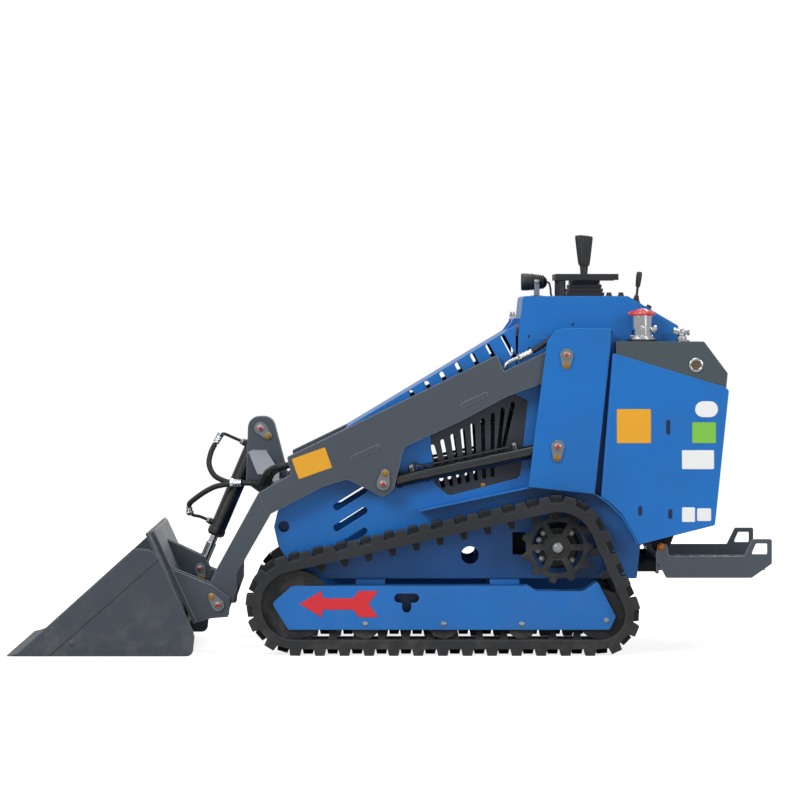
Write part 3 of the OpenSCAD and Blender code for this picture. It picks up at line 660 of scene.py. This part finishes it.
for side, label in SIDES:
    film("direction_arrow" + label, ARROW, FRAME_FACE, side, "arrow_red", "chassis")
    for k, (word, low, high, r) in enumerate(BLANKS):
        film(f"{word}_{k}{label}", rounded_box(low, high, r), PANEL_FACE, side, word, "chassis")
    # Each slot is a flat dark film, painted shade for the recess
    for k, ((x, z), half) in enumerate(PANEL_SLOTS):
        film(f"panel_slot_shade_{k}{label}", rounded_box((x - 6, z - half - 6), (x + 6, z + half + 6), 5.9), PANEL_FACE,
             side, "shadow_slot", "chassis")
    plate = rounded_box((ARM_PLATE_AT[0] - 54, ARM_PLATE_AT[1] - 33),
                        (ARM_PLATE_AT[0] + 54, ARM_PLATE_AT[1] + 33), 3)
    film("arm_yellow_plate" + label, turned(plate, ARM_PLATE_AT, 19.5), ARM_FACE, side,
         "yellow_plate", "lift_arms")

# Hydraulic cylinders, pipes and hoses -----------------------------------------------------------

HOSE_R = 8.5
PIPE_R = 5


def along_cylinder(foot, head):
    """Gives a function that turns a length and a height off the axis into a place."""
    foot, head = Vector(foot), Vector(head)
    ahead = (head - foot).normalized()
    off = Vector((-ahead.y, ahead.x))
    if off.y < 0:
        off = -off

    def place(length, height, y=0):
        spot = foot + length * ahead + height * off
        return Vector((spot.x, y, spot.y))
    return place


def cylinder_gland(bm, place, end, r, y):
    """The threaded head and wiper ring at the open end of a barrel."""
    axis = place(1, 0) - place(0, 0)
    lathe(bm, [(r - 6, 0), (r + 2.5, 0), (r + 2.5, 16), (r, 19), (r - 6, 19), (r - 6, 0)],
          place(end - 18, 0, y), axis, 0, steps=40)
    lathe(bm, [(r - 7, 19), (r - 2, 19), (r - 3, 23), (r - 7, 23), (r - 7, 19)],
          place(end - 18, 0, y), axis, 1, steps=40)


def cylinder_port(bm, place, length, r, y):
    axis = place(0, 1) - place(0, 0)
    lathe(bm, [(0, -3), (11, -3), (11, 9), (9, 11), (0, 11)], place(length, r, y), axis, 0, steps=24)
    lathe(bm, [(0, 10), (9.5, 10), (9.5, 18), (0, 18)], place(length, r, y), axis, 2, steps=6)


lift_place = along_cylinder(LIFT_BASE, LIFT_EYE)
LIFT_BARREL_R = 21
LIFT_BARREL_END = 504.3
for side, label in SIDES:
    bm = bmesh.new()
    y = side * 335
    cylinder_gland(bm, lift_place, LIFT_BARREL_END, LIFT_BARREL_R, y)
    for length in (128, 450):
        cylinder_port(bm, lift_place, length, LIFT_BARREL_R - 1, y)
    pipe = [lift_place(450, 36, y), lift_place(446, 39, y), lift_place(432, 36, y), lift_place(424, 30, y),
            lift_place(410, 28, y), lift_place(170, 28, y), lift_place(156, 30, y)]
    tube(bm, smooth_route(pipe), PIPE_R, 0)
    for length in (200, 300, 400):
        lathe(bm, [(LIFT_BARREL_R - 1, 0), (LIFT_BARREL_R + 1.5, 0), (LIFT_BARREL_R + 1.5, 14),
                   (LIFT_BARREL_R - 1, 14), (LIFT_BARREL_R - 1, 0)],
              lift_place(length, 0, y), lift_place(1, 0) - lift_place(0, 0), 0, steps=40)
    keep_piece("lift_cylinder_pipes" + label, bm, ["barrel", "hose", "pin"], "lift_barrels")

tilt_place = along_cylinder(TILT_TOP, TILT_EYE)
TILT_BARREL_R = 25
TILT_BARREL_END = 361
TILT_PORTS = (62, 330)
bm = bmesh.new()
cylinder_gland(bm, tilt_place, TILT_BARREL_END, TILT_BARREL_R, 0)
for length in TILT_PORTS:
    cylinder_port(bm, tilt_place, length, TILT_BARREL_R - 1, 0)
keep_piece("tilt_cylinder_ports", bm, ["barrel", "hose", "pin"], "tilt_barrel")

# Each tilt hose: its pipe from the port, its ferrules' and hose's route, and two points at the ends of its stretch
# between the barrel and the arms
TILT_HOSES = [
    ("tilt_hose_head", [tilt_place(TILT_PORTS[0], 38), (-500, 0, 647), (-524, -3, 657), (-536, -5, 654)],
     [(-536, -5, 654), (-553, -9, 626)],
     [(-553, -9, 626), (-566, -15, 598), (-571, -26, 562), (-554, -36, 528), (-520, -41, 510), (-500, -42, 507)],
     [(-500, -42, 507), (-466, -43, 505.5)],
     [(-466, -43, 505.5), (-448, -46, 506), (-420, -54, 505), (-396, -75, 504), (-386, -105, 506),
      (-378, -140, 522), (-367, -190, 540), (-355, -246, 550), (-344, -296, 558), (-331, -315, 564),
      (-315, -321, 568)],
     (-560, 0, 560), (-450, 0, 480)),
    ("tilt_hose_foot", [tilt_place(TILT_PORTS[1], 38), (-600, 0, 398), (-620, -3, 402), (-632, -7, 410)],
     [(-632, -7, 410), (-634, -17, 432)],
     [(-634, -17, 432), (-630, -22, 442), (-612, -31, 457), (-585, -40, 476), (-552, -48, 493),
      (-516, -56, 501), (-500, -58, 503.5)],
     [(-500, -58, 503.5), (-466, -62, 505)],
     [(-466, -62, 505), (-448, -64, 505), (-430, -72, 504), (-412, -92, 503), (-404, -118, 508),
      (-396, -150, 525), (-386, -200, 543), (-374, -256, 553), (-364, -308, 560), (-346, -336, 566),
      (-314.3, -340, 572)],
     (-612, 0, 456), (-448, 0, 505)),
]
for name, pipe, sleeve_a, hose, sleeve_b, run, start, end in TILT_HOSES:
    bm = bmesh.new()
    tube(bm, smooth_route(pipe), PIPE_R, 0)
    ferrule(bm, sleeve_a[0], sleeve_a[1], HOSE_R + 0.8, 1)
    tube(bm, smooth_route(hose), HOSE_R, 2, sides=14)
    ferrule(bm, sleeve_b[0], sleeve_b[1], HOSE_R + 0.8, 1)
    tube(bm, smooth_route(run), HOSE_R, 2, sides=14)
    piece = keep_piece(name, bm, ["iron", "chrome", "hose"], None)
    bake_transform(piece)

# The hose that comes out of each arm at its pivot
bm = bmesh.new()
for side, label in SIDES:
    y = side * 335
    tube(bm, smooth_route([(344, y, 868), (352, y, 880), (366, y, 888), (392, y, 900)]), HOSE_R - 2, 1, sides=14)
    ferrule(bm, (390, y, 899), (432, y, 919), HOSE_R + 0.8, 1)
    tube(bm, smooth_route([(430, y, 918), (452, y, 931), (476, y, 948), (500, y, 968)]), HOSE_R, 0, sides=14)
keep_piece("arm_root_hoses", bm, ["hose", "chrome"], "lift_arms")

# Tank fittings ----------------------------------------------------------------------------------

FILLER_X = 764
SIGHT_AT = (927.3, 876.5)
for side, label in SIDES:
    bm = bmesh.new()
    at = (SIGHT_AT[0], side * TANK_FACE, SIGHT_AT[1])
    ring = [(14, 0), (22, 0), (22, 4), (20, 6), (15.5, 6), (14, 4), (14, 0)]
    lathe(bm, ring, at, (0, side, 0), 0, steps=40)
    lathe(bm, [(0, 0), (14.5, 0), (14.5, 2), (0, 2)], at, (0, side, 0), 1, steps=24)
    keep_piece("sight_glass" + label, bm, ["chrome", "mesh_brown"], "chassis")

bm = bmesh.new()
filler_at = (FILLER_X, -TANK_MIDDLE, TANK_TOP)
up = (0, 0, 1)
lathe(bm, [(31, 0), (44.5, 0), (44.5, 6), (42, 8), (31, 8), (31, 0)], filler_at, up, 1, steps=40)
lathe(bm, [(31, 11), (38, 11), (38, 16), (37, 17), (31, 17), (31, 11)], filler_at, up, 2, steps=40)
lathe(bm, [(31, 74), (34, 74), (34, 79), (31, 79), (31, 74)], filler_at, up, 2, steps=40)
for k in range(6):
    turn = math.tau * (k + 0.5) / 6
    bolt(bm, (FILLER_X + 36 * math.cos(turn), -TANK_MIDDLE + 36 * math.sin(turn), TANK_TOP + 16), up, 3, 2)
lathe(bm, [(0, 79.5), (40, 79.5), (41, 81), (41, 84), (38, 87), (26, 92.5), (16, 97), (12, 99.5), (0, 100)],
      filler_at, up, 0, steps=40)
for k in range(16):
    turn = math.tau * k / 16
    rib = [(filler_at[0] + r * math.cos(turn), filler_at[1] + r * math.sin(turn), TANK_TOP + h)
           for r, h in ((41, 82), (38.5, 87.5), (26, 93.5))]
    tube(bm, rib, 1.6, 0, sides=8)
lathe(bm, [(0, -4), (9, -4), (9, 8), (12, 8), (12, 15), (9, 17), (0, 17)], (794, -TANK_MIDDLE, TANK_TOP + 38),
      (1, 0, 0), 2, steps=24)
lathe(bm, [(0, -4), (7, -4), (7, 5), (4.5, 7), (0, 7)], (FILLER_X, -TANK_MIDDLE - 31, TANK_TOP + 42), (0, -1, 0), 2,
      steps=24)
keep_piece("filler_neck_trim", bm, ["red", "iron", "chrome"], "chassis")

bm = bmesh.new()
breather_at = (886, -TANK_MIDDLE, TANK_TOP)
lathe(bm, [(9, 14), (13, 14), (13, 22), (9, 22), (9, 14)], breather_at, up, 0, steps=6)
for way in (-1, 1):
    lathe(bm, [(8, 16), (11.5, 16), (11.5, 24), (8, 24), (8, 16)],
          (886, -TANK_MIDDLE, TANK_TOP + 30), (way, 0, 0), 0, steps=6)
keep_piece("breather_nuts", bm, ["chrome"], "chassis")

# Controls ---------------------------------------------------------------------------------------

LEVER_X = 602
LEVER_STEP = 42
BELLOWS = [(57, 150), (53, 144), (49, 138), (44, 130)]
TIER_H = 12.5
bm = bmesh.new()
for k, (half_x, half_y) in enumerate(BELLOWS):
    foot = CONSOLE_TOP + k * TIER_H
    block(bm, (LEVER_X - half_x + 4, 4 - half_y, foot), (LEVER_X + half_x - 4, half_y - 4, foot + TIER_H), 0)
    block(bm, (LEVER_X - half_x, -half_y, foot + 1), (LEVER_X + half_x, half_y, foot + TIER_H - 1), 0,
          bevel=4.8, segments=4)
GRIP = [(0, 0), (5, 0), (5, 48), (8.5, 49), (9.5, 56), (11, 80), (12.8, 128), (12.8, 138), (11, 142), (0, 143)]
for row in range(-2, 3):
    lean = math.radians(2.2 * row)
    foot = (LEVER_X + row * 4, row * LEVER_STEP, CONSOLE_TOP + 48)
    along = (math.sin(lean), 0, math.cos(lean))
    lathe(bm, GRIP, foot, along, 0, steps=28)
    lathe(bm, [(0, -4), (15, -4), (14, 3), (9, 8), (10, 11), (6, 16), (0, 16)], foot, along, 0, steps=28)
levers = keep_piece("lever_boot_and_grips", bm, ["plastic"], "chassis")
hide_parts("control_levers")

bm = bmesh.new()
throttle_foot = (758, -120, 1067.6)
slope = (math.sin(math.radians(30.56)), 0, math.cos(math.radians(30.56)))
lathe(bm, [(0, 0), (16, 0), (16, 4), (13, 7), (0, 7)], throttle_foot, slope, 0)
along = (math.sin(math.radians(7)), 0, math.cos(math.radians(7)))
lathe(bm, [(0, 2), (12, 2), (11.5, 7), (8.5, 10), (10, 13), (7, 17), (8, 20), (4, 25), (4, 48), (6.5, 49),
           (8, 58), (9, 78), (9, 91), (7, 96), (0, 98)], throttle_foot, along, 0)
throttle = keep_piece("throttle_grip", bm, ["plastic"], "chassis")
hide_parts("throttle_lever")

bm = bmesh.new()
lamp_at = (486, 0, CONSOLE_TOP + 45)
front = (-1, 0, 0)
shell = [(0, 0), (8, 0), (15, 4), (19, 9)]
for k in range(6):
    r = 20 + k
    shell += [(r, 10 + 7 * k), (r + 2, 11 + 7 * k), (r + 2, 14 + 7 * k), (r, 15 + 7 * k)]
lathe(bm, shell + [(26, 54), (27, 60), (27, 78), (25, 81), (23.5, 81), (22.5, 73), (0, 72)], lamp_at, front, 0,
      steps=40)
lathe(bm, [(0, 72.5), (22.3, 72.5), (22.3, 75), (13, 79), (0, 80)], lamp_at, front, 1, steps=40)
block(bm, (436, -29, CONSOLE_TOP), (472, 29, CONSOLE_TOP + 3), 2, bevel=1)
for way in (-1, 1):
    block(bm, (446, way * 27.8 - 1.2, CONSOLE_TOP + 1), (462, way * 27.8 + 1.2, CONSOLE_TOP + 52), 2, bevel=1)
    bolt(bm, (454, way * 28.8, CONSOLE_TOP + 45), (0, way, 0), 5, 2)
tube(bm, smooth_route([(480, 0, CONSOLE_TOP + 45), (492, -2, CONSOLE_TOP + 42), (497, -6, CONSOLE_TOP + 24),
                       (498, -8, CONSOLE_TOP + 8), (502, -9, CONSOLE_TOP - 3)]), 3.2, 3, sides=10)
lamp = keep_piece("lamp_head", bm, ["plastic", "lens", "pin", "hose"], "chassis")
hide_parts("work_lamp")

# Two knobs on the console's top, one on its slope, and dark films of painted shade for the holes in its side sheets
bm = bmesh.new()
KNOB = [(0, -1), (10, -1), (10, 3), (8, 4), (8, 10), (6.5, 11.5), (0, 11.5)]
for x in (669, 706):
    lathe(bm, KNOB, (x, -240, CONSOLE_TOP), up, 0, steps=24)
lathe(bm, KNOB, (789, -240, 1049.4), slope, 0, steps=24)
keep_piece("console_knobs", bm, ["plastic"], "chassis")
# The holes are flat dark films, painted shade where the sheet is pierced
for side, label in SIDES:
    for k, (x, z) in enumerate(((421, 964.4), (421, 927.6), (556, 1001), (673, 976.6))):
        film(f"console_hole_shade_{k}{label}", rounded_box((x - 4, z - 4), (x + 4, z + 4), 3.9), SIDE_FACE, side,
             "shadow_slot", "chassis")

# The hood's hinge pins, and a catch on its near edge
bm = bmesh.new()
for y in (-212, -148, 148, 212):
    lathe(bm, [(0, -4), (7.5, -4), (7.5, 2), (6, 4), (0, 4)], (382, y, 1010.5), (0, 1 if y > 0 else -1, 0), 0,
          steps=24)
for y in (-180, 180):
    lathe(bm, [(9.1, -29), (12, -29), (12, 29), (9.1, 29), (9.1, -29)], (382, y, 1010.5), (0, 1, 0), 0, steps=28)
    slab(bm, [(371, 1014), (376, 1040), (379, 1040), (384, 1020)], y - 28, y + 28, 0, bevel=1)
keep_piece("hood_hinge_pins", bm, ["chrome"], "chassis")

# Running gear -----------------------------------------------------------------------------------

FRAME_BOLTS = [(-80.3, 94), (157.9, 94), (394.8, 93), (651.2, 104.7)]
MOTOR_BOLTS = [45, 135, 160, 190, 217, 318]
for side, label in SIDES:
    bm = bmesh.new()
    out = (0, side, 0)
    for x, z in FRAME_BOLTS:
        bolt(bm, (x, side * FRAME_FACE, z), out, 5.5, 0)
    for degrees in MOTOR_BOLTS:
        turn = math.radians(degrees)
        bolt(bm, (SPROCKET_AT[0] + 60 * math.cos(turn), side * 395, SPROCKET_AT[1] + 60 * math.sin(turn)),
             out, 6, 0)
    spline = [(SPROCKET_AT[0] + r * math.cos(a), SPROCKET_AT[1] + r * math.sin(a))
              for k in range(14) for r, a in ((17, math.tau * k / 14), (13, math.tau * (k + 0.5) / 14))]
    slab(bm, spline, side * 440, side * 446, 0, bevel=0.6, segments=1)
    lathe(bm, [(0, 0), (9, 0), (9, 2), (5, 3), (4, 0.6), (0, 0.6)], (SPROCKET_AT[0], side * 446, SPROCKET_AT[1]),
          out, 0, steps=24)
    keep_piece("running_gear_bolts" + label, bm, ["pin"], "chassis")

# The bent front edge of each rear panel
for side, label in SIDES:
    bm = bmesh.new()
    tube(bm, [(678, side * (PANEL_FACE - 5), 909), (643, side * (PANEL_FACE - 5), 478)], 5.6, 0, sides=16)
    keep_piece("panel_bend" + label, bm, ["blue"], "chassis")

# Grille screws and the rear cover's louvres
bm = bmesh.new()
for side in (-1, 1):
    bolt(bm, (280, side * 290, 507.5), (0, side, 0), 5, 0)
keep_piece("grille_screws", bm, ["brass"], "chassis")

bm = bmesh.new()
for k in range(7):
    z = 470 + 36 * k
    x = 975 + 30 * min(1, (z - 392) / 250)
    slab(bm, [(x - 3, z + 14), (x - 3, z), (x + 9, z - 2), (x + 9, z + 1), (x + 2, z + 14)], -150, 150, 0, bevel=1)
keep_piece("rear_louvres", bm, ["blue"], "chassis")

# The engine's top and its air cleaner
bm = bmesh.new()
block(bm, (330, -120, 688), (560, 120, 728), 0, bevel=9, segments=3)
for k in range(9):
    block(bm, (345 + k * 24, -104, 726), (353 + k * 24, 104, 734), 0, bevel=2)
lathe(bm, [(0, 0), (44, 0), (48, 6), (48, 30), (45, 34), (45, 190), (48, 194), (48, 222), (44, 228), (0, 228)],
      (298, -114, 742), (0, 1, 0), 1, steps=40)
tube(bm, smooth_route([(298, 100, 742), (298, 150, 742), (330, 165, 735), (380, 160, 715), (400, 140, 700)]), 22,
     1, sides=20)
keep_piece("engine_top", bm, ["engine", "plastic"], "chassis")

# Arms, bucket and platform ----------------------------------------------------------------------


# The cross frame again, with the rounded ears and the sloping gussets of the photograph; the gussets take a lighter
# grey, a painted highlight where they face up towards the light
CROSS_TUBE_AT = (-343, 487)
CROSS_TUBE_R = 32
EAR = [(TILT_TOP[0] - 38, TILT_TOP[1] + 37, 35), (TILT_TOP[0] + 38, TILT_TOP[1] + 37, 35), (-322, 520),
       (-300, 490, 20), (-320, 455, 15), (-400, 465, 10), (-455, 505, 10)]
EAR_IN, EAR_OUT = 28, 38
GUSSET = [(-447, 0), (-402, 24), (-350, -72), (-350, -118), (-368, -118), (-374, -88), (-418, -84)]
GUSSET_TOP = 598
GUSSET_TURN = math.radians(127)
GUSSET_PLATE = 6
bm = bmesh.new()
lathe(bm, [(0, -305), (CROSS_TUBE_R, -305), (CROSS_TUBE_R, 305), (0, 305)], (CROSS_TUBE_AT[0], 0, CROSS_TUBE_AT[1]),
      (0, 1, 0), 0, steps=64)
lathe(bm, [(0, -EAR_OUT), (16, -EAR_OUT), (16, EAR_OUT), (0, EAR_OUT)], (TILT_TOP[0], 0, TILT_TOP[1]), (0, 1, 0), 1)
for side in (-1, 1):
    slab(bm, filleted(EAR), side * EAR_IN, side * EAR_OUT, 0, bevel=1)
    shape = bmesh.new()
    near, far = ([shape.verts.new((x, side * (EAR_OUT - 1 + v * math.cos(GUSSET_TURN) - w * math.sin(GUSSET_TURN)),
                                   GUSSET_TOP + v * math.sin(GUSSET_TURN) + w * math.cos(GUSSET_TURN)))
                  for x, v in GUSSET] for w in (0, -GUSSET_PLATE))
    shape.faces.new(near)
    shape.faces.new(far)
    for k in range(len(GUSSET)):
        shape.faces.new((near[k - 1], near[k], far[k], far[k - 1]))
    # Finish 2, the lighter grey, is painted highlight on the gussets
    add_shape(bm, shape, 2)
cross_frame = keep_piece("cross_frame_rounded", bm, ["dark_grey", "pin", "gusset_highlight_grey"], "lift_arms")
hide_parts("arm_cross_frame")


def stadium(a, b, r):
    return teardrop(a, b, r, r)


for side, label in SIDES:
    bm = bmesh.new()
    for a, b in (((-118, 592), (-42, 627)), ((220, 754), (286, 786))):
        slab(bm, stadium(a, b, 9), side * ARM_FACE, side * (ARM_FACE + 1.2), 0, bevel=0.5, segments=1)
    slab(bm, stadium((-406, 485), (-381, 419), 1.6), side * ARM_FACE, side * (ARM_FACE + 1), 0)
    keep_piece("arm_pressings" + label, bm, ["dark_grey"], "lift_arms")

DOUBLER = [(-1150, 2), (-1035, 2), (-1023, 11), (-704, 293), (-713, 309), (-732, 321), (-773, 323),
           (-1122, 13)]
for side, label in SIDES:
    bm = bmesh.new()
    slab(bm, DOUBLER, side * BUCKET_FACE, side * (BUCKET_FACE + 4), 0, bevel=1)
    lathe(bm, [(0, 0), (11, 0), (9, 2), (5, 3), (0, 3)], (-963, side * BUCKET_FACE, 39.8), (0, side, 0), 0)
    keep_piece("bucket_side_doubler" + label, bm, ["bucket_grey"], "bucket")

bm = bmesh.new()
for row in range(8):
    for column in range(18):
        x, y = 838 + row * 38, -323 + column * 38
        lean = math.radians(45 if (row + column) % 2 else -45)
        dx, dy = 13 * math.cos(lean), 13 * math.sin(lean)
        tube(bm, [(x - dx, y - dy, 257), (x + dx, y + dy, 257)], 3, 0, sides=8)
keep_piece("platform_tread", bm, ["dark_grey"], "chassis")

bm = bmesh.new()
for side in (-1, 1):
    bolt(bm, (822, side * ARM_FACE, 322), (0, side, 0), 8, 0)
keep_piece("platform_hinge_bolts", bm, ["rust"], "chassis")
